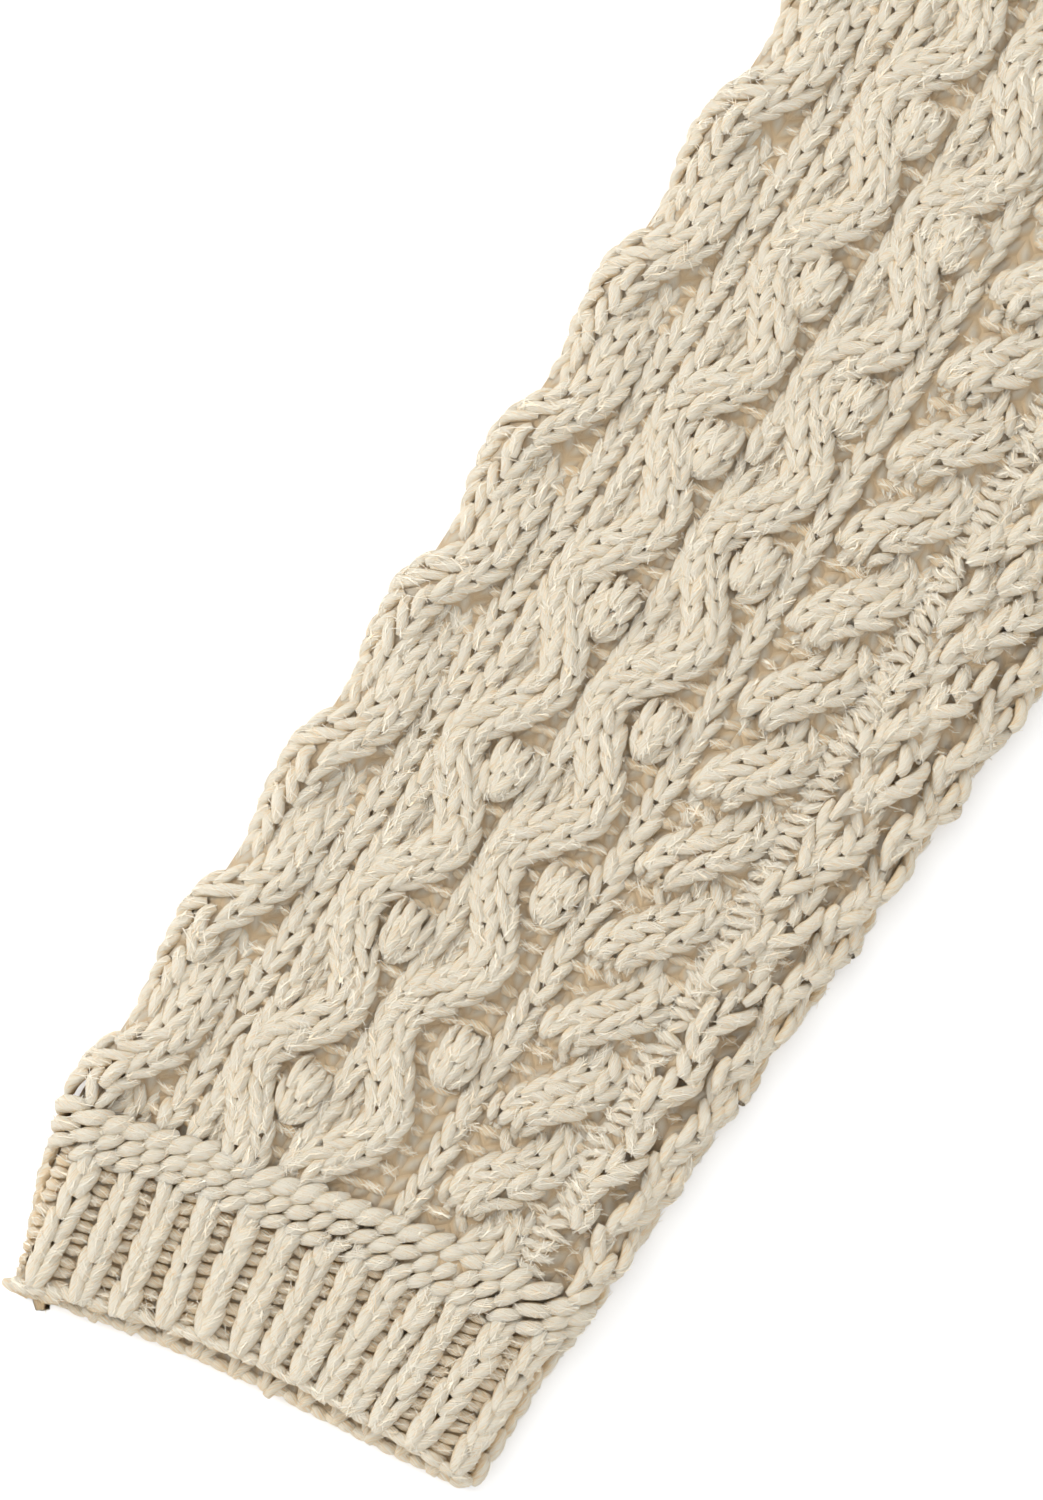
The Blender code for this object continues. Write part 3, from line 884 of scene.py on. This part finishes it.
def tube_shell(name, low, high, rows, columns, relief_of, hand=1, yarns_to=0.0):
    """A sleeve's ground all round, from its low edge to its high one, both given by place across.
    Yarns cover it up to yarns_to, and past that painted shade deepens its colour."""
    u, s = tube_grid(low, high, rows, columns)
    start, end, radius, middle, roll = section(s)
    lift, painted_shade = relief_of(u, s)
    upper = ease((u - start + 1.9 * radius) / radius) * ease((end + 2 * roll - u) / roll)
    outside = on_sleeve(u, s, mix(UNDERSIDE - REST, lift - 0.4, upper))
    outside[..., 2] = np.maximum(outside[..., 2], REST)
    inner_u, inner_s = tube_grid(low, high, rows // 8, columns)
    inside = inner_skin(inner_u, inner_s)
    points = np.concatenate((inside[::-1], outside))
    points[..., 0] *= hand
    index = numbered(points)
    index = np.concatenate((index, index[:1]))
    faces = grid_faces(index[:, ::hand], closed=True)
    made = smooth_mesh(name, points, faces, knit)
    all_u = np.concatenate((inner_u[::-1], u))
    all_s = np.concatenate((inner_s[::-1], s))
    stitch = np.stack((all_u / WALE, all_s / ROW, np.ones_like(all_u)), axis=-1)
    # The inside of the sleeve carries an even painted shade.
    painted_shade = np.concatenate((np.full_like(inner_u, 0.6), np.broadcast_to(painted_shade, u.shape)))
    # Painted shade mask: 1 where no yarns cover the ground.
    clear = ease((s - yarns_to) / 8)
    return finish_shell(made, stitch, painted_shade, np.concatenate((np.ones_like(inner_u), clear)))


def panel_shell(name, across, along, shape, middle, wall, relief_of, slant=1.0):
    """A flat panel of two layers. across and along are its grid lines, as shares."""
    a, b = np.meshgrid(across, along)
    plane = shape(a, b)
    x, y = plane[..., 0], plane[..., 1]
    thick = np.minimum(edge_swell(across)[None], edge_swell(along)[:, None])
    lift, painted_shade = relief_of(x, y)
    mid = middle(x, y)
    top = mid + thick * (wall / 2 - SUNK + np.minimum(lift * PROUD, HIGHEST_RELIEF))
    top = np.maximum(top, mid - wall / 2 + THINNEST)
    bottom = mid - thick * wall / 2
    upper = np.stack((x, y + HEM_Y, top), axis=-1)
    lower = np.stack((x, y + HEM_Y, bottom), axis=-1)
    points = np.concatenate((upper.reshape(-1, 3), lower.reshape(-1, 3)))
    index = np.arange(a.size).reshape(a.shape)
    rim = np.concatenate((index[0], index[1:, -1], index[-1, -2::-1], index[-2:0:-1, 0]))
    turned = np.roll(rim, -1)
    walls = np.stack((rim, rim + a.size, turned + a.size, turned), axis=-1)
    under = grid_faces(index[:, ::-1]) + a.size
    faces = np.concatenate((grid_faces(index), under, walls))
    if (x[0, -1] - x[0, 0]) < 0:
        faces = faces[:, ::-1]
    made = smooth_mesh(name, points, faces, knit)
    stitch = np.stack((x / WALE, y / ROW, np.full_like(x, slant)), axis=-1).reshape(-1, 3)
    lower_stitch = stitch * (1, 1, 0)
    painted_shade = np.broadcast_to(painted_shade, x.shape).ravel()
    stitches = np.concatenate((stitch, lower_stitch))
    return finish_shell(made, stitches, np.concatenate((painted_shade, painted_shade)))


def edge_swell(shares):
    """How thick the cloth is at each grid line: it thins at its edges."""
    swell = np.ones(len(shares))
    swell[[0, -1]] = 0.3
    swell[[1, -2]] = 0.8
    return swell


def lines(count, size):
    """Shares for grid lines over a size, closer at both edges."""
    inner = np.linspace(2.2, size - 2.2, count) / size
    return np.concatenate(([0, 0.7 / size], inner, [1 - 0.7 / size, 1]))


# The body's panels


def patch(low, high, near, far, a, b):
    """A point of the four-sided panel between two edge curves across it and two along it."""
    a = a[..., None]
    b = b[..., None]
    between = mix(low(a[..., 0]), high(a[..., 0]), b) + mix(near(b[..., 0]), far(b[..., 0]), a)
    ends = np.array((0.0, 1.0))
    low_line = mix(low(ends)[0], low(ends)[1], a)
    high_line = mix(high(ends)[0], high(ends)[1], a)
    return between - mix(low_line, high_line, b)


def pair(x, y):
    return np.stack(np.broadcast_arrays(np.asarray(x, float), np.asarray(y, float)), axis=-1)


def neckline(angle, depth):
    x = (NECK_HALF + SEAM_GAP) * np.sin(angle)
    return pair(x, NECK_HEIGHT - (depth + SEAM_GAP) * np.cos(angle))


def shoulder(share):
    x = mix(NECK_HALF + SEAM_GAP, SHOULDER_HALF, share)
    return pair(x, mix(NECK_HEIGHT, SHOULDER_HEIGHT, share))


def side_edge(along):
    """The side seam, then the armhole."""
    height = mix(HEM_DEPTH, SHOULDER_HEIGHT, along)
    return pair(body_half(height), height)


def band_angle(half=NECK_HALF):
    return math.asin(BAND_HALF / half)


def top_edge(share, angle_low, depth):
    """Round the neck from angle_low to the shoulder seam, then along it."""
    neck = neckline(mix(angle_low, math.pi / 2, np.clip(share / NECK_SHARE, 0, 1)), depth)
    beyond = shoulder(np.clip((share - NECK_SHARE) / (1 - NECK_SHARE), 0, 1))
    return np.where((share > NECK_SHARE)[..., None], beyond, neck)


def front_top(across):
    edge = top_edge(across, band_angle(), FRONT_NECK_DEPTH)
    return pair(np.maximum(edge[..., 0], BAND_HALF + SEAM_GAP), edge[..., 1])


def band_edge(along):
    top = neckline(band_angle(), FRONT_NECK_DEPTH)[1]
    return pair(BAND_HALF + SEAM_GAP, mix(HEM_DEPTH, top, along))


def front_hem_line(across):
    return pair(mix(BAND_HALF + SEAM_GAP, BODY_HALF, across), HEM_DEPTH)


def back_top(across):
    side = 2 * across - 1
    edge = top_edge(np.abs(side), 0, BACK_NECK_DEPTH)
    return pair(np.copysign(edge[..., 0], side), edge[..., 1])


def back_hem_line(across):
    return pair(mix(-BODY_HALF, BODY_HALF, across), HEM_DEPTH)


def back_side_edge(along):
    return side_edge(along) * (-1, 1)


def front_middle(x, height, wall, over):
    """How high the middle of a front's wall lies. The front on top rises towards its band."""
    back_wall = mix(RIB_WALL, CABLE_WALL, ease((height - 0.6 * HEM_DEPTH) / (0.3 * HEM_DEPTH)))
    resting = back_wall + LAYER_GAP + wall / 2
    if not over:
        return resting
    lift = 1.5 * BAND_WALL + SEAM_GAP - wall / 2
    return resting + lift * ease(1 - (np.abs(x) - BAND_HALF) / LIFT_REACH)


def rib_relief(across, width=7.6, high=3.2):
    """Ribs whose valleys are as narrow as in the cuff."""
    ridge = np.abs(np.sin(math.pi * across / width)) ** 0.7
    # The second value is painted shade in the valleys.
    return high * ridge, 0.75 * (1 - ridge) ** 2


def front_relief(x, y):
    u = np.abs(x) - FRONT_SHIFT
    high = charted(HEM_DEPTH + 4, INNER_BOBBLE + CABLE / 2, INNER_BOBBLE, u, y)
    high = np.where((u > CHART_WIDTH) | (u < -14), moss_relief(u, y) + 0.6, high)
    # The second value is painted shade on the low ground between strands.
    return high, 0.9 * np.clip(1 - high / 1.5, 0, 1)


def build_front(side, hand, over):
    def front(a, b):
        return patch(front_hem_line, front_top, band_edge, side_edge, a, b) * (hand, 1)

    def hem(a, b):
        x = mix(BAND_HALF + SEAM_GAP, mix(HEM_HALF, BODY_HALF, b), a)
        return pair(hand * x, b * (HEM_DEPTH - SEAM_GAP))

    def band(a, b):
        angle = mix(-1, 1, a) * band_angle()
        top = neckline(angle, FRONT_NECK_DEPTH)[..., 1]
        return pair(NECK_HALF * np.sin(angle), b * top)

    def middle(wall, spread=1):
        return lambda x, y: front_middle(spread * x, y, wall, over)

    length = NECK_HEIGHT - HEM_DEPTH
    front_shell = panel_shell(
        "knit_front_" + side, lines(112, BODY_HALF), lines(176, length),
        front, middle(CABLE_WALL), CABLE_WALL, front_relief,
    )
    hem_shell = panel_shell(
        "knit_hem_front_" + side, lines(190, BODY_HALF), lines(12, HEM_DEPTH),
        hem, middle(RIB_WALL), RIB_WALL, lambda x, y: rib_relief(x),
    )
    band_shell = panel_shell(
        "knit_band_" + side, lines(26, 2 * BAND_HALF), lines(110, 550),
        band, middle(BAND_WALL, 0), BAND_WALL, lambda x, y: rib_relief(x, 6.4, 3.0),
    )
    return front_shell, hem_shell, band_shell


def build_back():
    def back(a, b):
        return patch(back_hem_line, back_top, back_side_edge, side_edge, a, b)

    def hem(a, b):
        x = (2 * a - 1) * mix(HEM_HALF, BODY_HALF, b)
        return pair(x, b * (HEM_DEPTH - SEAM_GAP))

    back_shell = panel_shell(
        "knit_back", lines(70, 2 * BODY_HALF), lines(80, NECK_HEIGHT - HEM_DEPTH),
        back, lambda x, y: np.full(x.shape, CABLE_WALL / 2), CABLE_WALL,
        # An even relief and an even painted shade.
        lambda x, y: (np.full(x.shape, 3.0), np.full(x.shape, 0.3)), 0.0,
    )
    hem_shell = panel_shell(
        "knit_hem_back", lines(200, 2 * BODY_HALF), lines(10, HEM_DEPTH),
        hem, lambda x, y: np.full(x.shape, RIB_WALL / 2), RIB_WALL, lambda x, y: rib_relief(x),
    )
    return back_shell, hem_shell


def neck_point(half, base, depth, turn):
    """A point of a neck curve: turn is 0 where the button band's edge meets it and 1 at the
    shoulder, and -1 at the band's other edge."""
    band = band_angle(half)
    angle = mix(band, math.pi / 2, turn) if turn > 0 else mix(band, -band, -turn)
    return np.array((half * math.sin(angle), base - depth * math.cos(angle)))


def neckband_half(hand, over):
    """(outer point, inner point, height) from the front's band up to the shoulder and over it."""
    inner_depth = FRONT_NECK_DEPTH + NECKBAND_RISE - NECKBAND_FRONT_WIDTH
    stations = []
    for turn in np.concatenate((np.linspace(-1, 0, 14)[:-1], np.linspace(0, 1, 56))):
        outer = neck_point(NECK_HALF, NECK_HEIGHT, FRONT_NECK_DEPTH, turn)
        inner = neck_point(
            NECK_HALF - NECKBAND_WIDTH, NECK_HEIGHT + NECKBAND_RISE, inner_depth, turn
        )
        height = float(front_middle(outer[0], NECK_HEIGHT, BAND_WALL, over))
        if over and turn < 0:
            height = float(front_middle(0, NECK_HEIGHT, BAND_WALL, over))
        stations.append((outer * (hand, 1), inner * (hand, 1), height))
    fold = (stations[-1][2] - BAND_WALL / 2) / 2
    outer, inner, _ = stations[-1]
    for angle in np.linspace(0, math.pi, 9)[1:-1]:
        bulge = np.array((0, fold * math.sin(angle)))
        stations.append((outer + bulge, inner + bulge, BAND_WALL / 2 + fold * (1 + math.cos(angle))))
    return stations


def neckband_stations():
    """Up the right front, over the shoulder, round the back of the neck, and down the left."""
    quarter = []
    for angle in np.linspace(0, math.pi / 2, 44):
        outer = NECK_HALF * math.sin(angle), NECK_HEIGHT - BACK_NECK_DEPTH * math.cos(angle)
        inner_half = NECK_HALF - NECKBAND_WIDTH
        inner_height = NECK_HEIGHT + NECKBAND_RISE - NECKBAND_BACK_DIP * math.cos(angle)
        inner = inner_half * math.sin(angle), inner_height
        quarter.append((np.array(outer), np.array(inner), BAND_WALL / 2))
    mirrored = [(outer * (-1, 1), inner * (-1, 1), height) for outer, inner, height in quarter]
    return neckband_half(-1, False) + mirrored[:0:-1] + quarter + neckband_half(1, True)[::-1]


def build_neckband():
    """A closed strip of rectangular section, ribbed on both faces."""
    outer, inner, height = (np.array(part) for part in zip(*neckband_stations()))
    share = np.array((0, 0.04, 0.12, 0.35, 0.65, 0.88, 0.96, 1))
    plane = mix(outer[:, None], inner[:, None], share[None, :, None])
    run = np.cumsum(np.linalg.norm(np.gradient((outer + inner) / 2, axis=0), axis=-1))
    centre = np.concatenate((plane, np.broadcast_to(height[:, None, None], plane[..., :1].shape)), -1)
    way = unit(np.gradient(centre, axis=0))
    cross = unit(centre[:, -1:] - centre[:, :1])
    normal = unit(np.cross(cross, way))
    normal *= np.sign(normal[0, 0, 2])
    rib, painted_shade = rib_relief(run, 6.4, 0.8)
    swell = np.array((0.35, 0.8, 1, 1, 1, 1, 0.8, 0.35))
    half = (BAND_WALL / 2 - 0.8 + rib)[:, None] * swell
    faces_up = centre + normal * half[..., None]
    faces_down = centre - normal * half[..., None]
    ring = np.concatenate((faces_up, faces_down[:, ::-1]), axis=1) + (0, HEM_Y, 0)
    index = numbered(ring)
    faces = grid_faces(index, closed=True)
    shell = smooth_mesh("knit_neckband", ring, faces, knit)
    u = np.broadcast_to(run[:, None], ring.shape[:2])
    v = np.broadcast_to(np.concatenate((share, share[::-1])) * NECKBAND_WIDTH, ring.shape[:2])
    stitch = np.stack((u / 3.2, v / ROW, np.ones_like(u)), axis=-1)
    return finish_shell(shell, stitch, np.broadcast_to(painted_shade[:, None], ring.shape[:2]))


# The sleeves' grounds


def sleeve_top(across, under):
    """Just short of the shoulder tip. inner_edge() already follows the armhole."""
    return np.full_like(across, ARMHOLE_ALONG[-1] - 6)


def sleeve_bottom(across, under):
    return braid_line(across) - 1


def cuff_bottom(across, under):
    return np.where(under, lip_low(across) + 0.8, cuff_low(across) + 1.2)


def cuff_top(across, under):
    return braid_line(across) + 3


def sleeve_relief(yarns_to=0.0):
    """The relief of the whole sleeve's chart. Up to yarns_to it lies buried under the yarns."""

    def lift(u, s):
        shift = outer_edge(s) - OUTER_EDGE * np.clip(s / CUFF_OUTER_TOP, 0, 1) ** 0.8
        at = u - shift
        high = charted(40.0, FIRST_BOBBLE, INNER_BOBBLE, at, s)
        high = np.where(at > CHART_WIDTH, moss_relief(at, s) + 0.6, high)
        high = np.maximum(high, 0.8) * ease((s - 44) / 8)
        clear = ease((s - yarns_to) / 8)
        crest = np.where(at > CHART_WIDTH, high, high * PROUD)
        high = np.maximum(mix(high - BURIED, crest, clear), 0)
        high = high - 2 * (1 - clear) * np.exp(-(((u - seam_line(s)) / 2.5) ** 2))
        # The second value is painted shade: even under the yarns, and deeper on the low ground between
        # strands past them.
        return high, mix(0.65, 0.9 * np.clip(1 - high / 2, 0, 1), clear)

    return lift


def cuff_relief(u, s):
    return rib_relief(u + 2, 7.6, 1.8)


def buried_relief(u, s):
    """The ground of the right cuff, under its ribs and braid."""
    under_braid = ease((s - braid_line(u)) / 3)
    # An even painted shade all over, as the yarns cover it.
    return 1.3 * under_braid, np.full_like(u, 0.65)


# Buttons


def button_material():
    shader, tree, surface = new_material("horn")
    set_inputs(surface, {"Roughness": 0.32, "Coat Weight": 0.25})
    place = tree.nodes.new("ShaderNodeTexCoord").outputs["Object"]
    noise = noise_texture(tree, place, {"Scale": 70.0, "Detail": 3.0, "Distortion": 1.5})
    tree.links.new(mixed(tree, noise, HORN_DARK, HORN_LIGHT), surface.inputs["Base Color"])
    return shader


def button_threads():
    """Two stitches through the holes of each button, laid as a cross."""
    found = []
    for number in range(BUTTONS):
        low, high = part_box(f"button_{number + 1}")
        x = (low.x + high.x) / 2 / MM
        y = (low.y + high.y) / 2 / MM
        reach = 2 * HOLE_OFFSET
        for angle in (math.pi / 4, 3 * math.pi / 4):
            for side in (-0.35, 0.35):
                u = x - side * math.sin(angle)
                s = y + side * math.cos(angle)
                # Each thread carries a little painted shade.
                found += bump(u, s, high.z / MM - 0.5, reach, angle, 0.36, 0.1, 1.1)
    return found


def on_front(u, s, h):
    return np.stack(np.broadcast_arrays(u, s, h), axis=-1)


# The studio


def lamp(name, place, aim, size, power):
    light = bpy.data.lights.new(name, "AREA")
    light.energy = power
    light.size = size
    made = add_object(name, light)
    made.location = place
    way = Vector(aim) - Vector(place)
    made.rotation_euler = way.to_track_quat("-Z", "Y").to_euler()


def frame_middle():
    """The place under the camera, in metres."""
    return (CORNER + FRAME_ALONG * ALONG + FRAME_ACROSS * ACROSS) * MM


def stage():
    bpy.ops.mesh.primitive_plane_add(size=14)
    floor = bpy.context.object
    floor.name = "floor"
    paint, _, surface = new_material("floor")
    set_inputs(surface, {"Base Color": (*FLOOR_TONE, 1), "Roughness": 0.9})
    floor.data.materials.append(paint)
    world = bpy.data.worlds.new("studio")
    world.use_nodes = True
    sky = {"Color": (1, 1, 1, 1), "Strength": SKY_STRENGTH}
    set_inputs(world.node_tree.nodes["Background"], sky)
    bpy.context.scene.world = world
    x, y = frame_middle()
    place = (x + KEY_OFFSET[0], y + KEY_OFFSET[1], KEY_RISE)
    lamp("key", place, (x, y, 0), KEY_SIZE, KEY_POWER)
    bpy.context.scene.view_settings.view_transform = "Standard"


def camera():
    lens = bpy.data.cameras.new("camera")
    lens.sensor_width = SENSOR
    lens.lens = SENSOR * (CAMERA_RISE - KNIT_TOP) / FRAME_HEIGHT
    eye = add_object("camera", lens)
    eye.location = (*frame_middle(), CAMERA_RISE)
    bpy.context.scene.camera = eye


def right_yarns(groups):
    """One piece for each group of the right sleeve's stitches."""
    return [
        yarn_mesh("right_" + name, stitches, on_sleeve, yarn) for name, stitches in groups.items()
    ]


yarn = yarn_material()
knit = knit_material()
horn = button_material()

sleeve_groups = right_sleeve()
sleeve_yarns = right_yarns(sleeve_groups)
cuff_groups = cuff_stitches()
cuff_yarns = right_yarns(cuff_groups)
cuff_yarns.append(yarn_mesh("right_cuff_lip", lip_stitches(), on_lip, yarn))

every_group = (*sleeve_groups.values(), *cuff_groups.values())
every_stitch = [part for group in every_group for part in group]
fibres_right = fibre_mesh("right_fibres", every_stitch, on_sleeve, yarn)

right_sleeve_shell = tube_shell(
    "knit_sleeve_right", sleeve_bottom, sleeve_top, 224, 124, sleeve_relief(CHART_HIGH - 3),
    yarns_to=CHART_HIGH - 3,
)
right_cuff_shell = tube_shell(
    "knit_cuff_right", cuff_bottom, cuff_top, 22, 150, buried_relief,
    yarns_to=CHART_HIGH,
)
left_sleeve_shell = tube_shell(
    "knit_sleeve_left", sleeve_bottom, sleeve_top, 210, 104, sleeve_relief(), -1,
)
left_cuff_shell = tube_shell(
    "knit_cuff_left", cuff_bottom, cuff_top, 16, 210, cuff_relief, -1,
)
right_front, right_hem, right_band = build_front("right", -1, False)
left_front, left_hem, left_band = build_front("left", 1, True)
back, back_hem = build_back()
neckband = build_neckband()
threads = yarn_mesh("button_threads", button_threads(), on_front, yarn)
for number in range(BUTTONS):
    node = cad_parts[f"button_{number + 1}"]
    node.data.materials.clear()
    node.data.materials.append(horn)

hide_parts("sleeve_right")
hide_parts("cuff_right")
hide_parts("sleeve_left")
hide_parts("cuff_left")
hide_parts("front_right")
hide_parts("hem_front_right")
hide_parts("band_right")
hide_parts("front_left")
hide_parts("hem_front_left")
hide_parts("band_left")
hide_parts("back")
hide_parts("hem_back")
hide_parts("neckband")

stage()
camera()
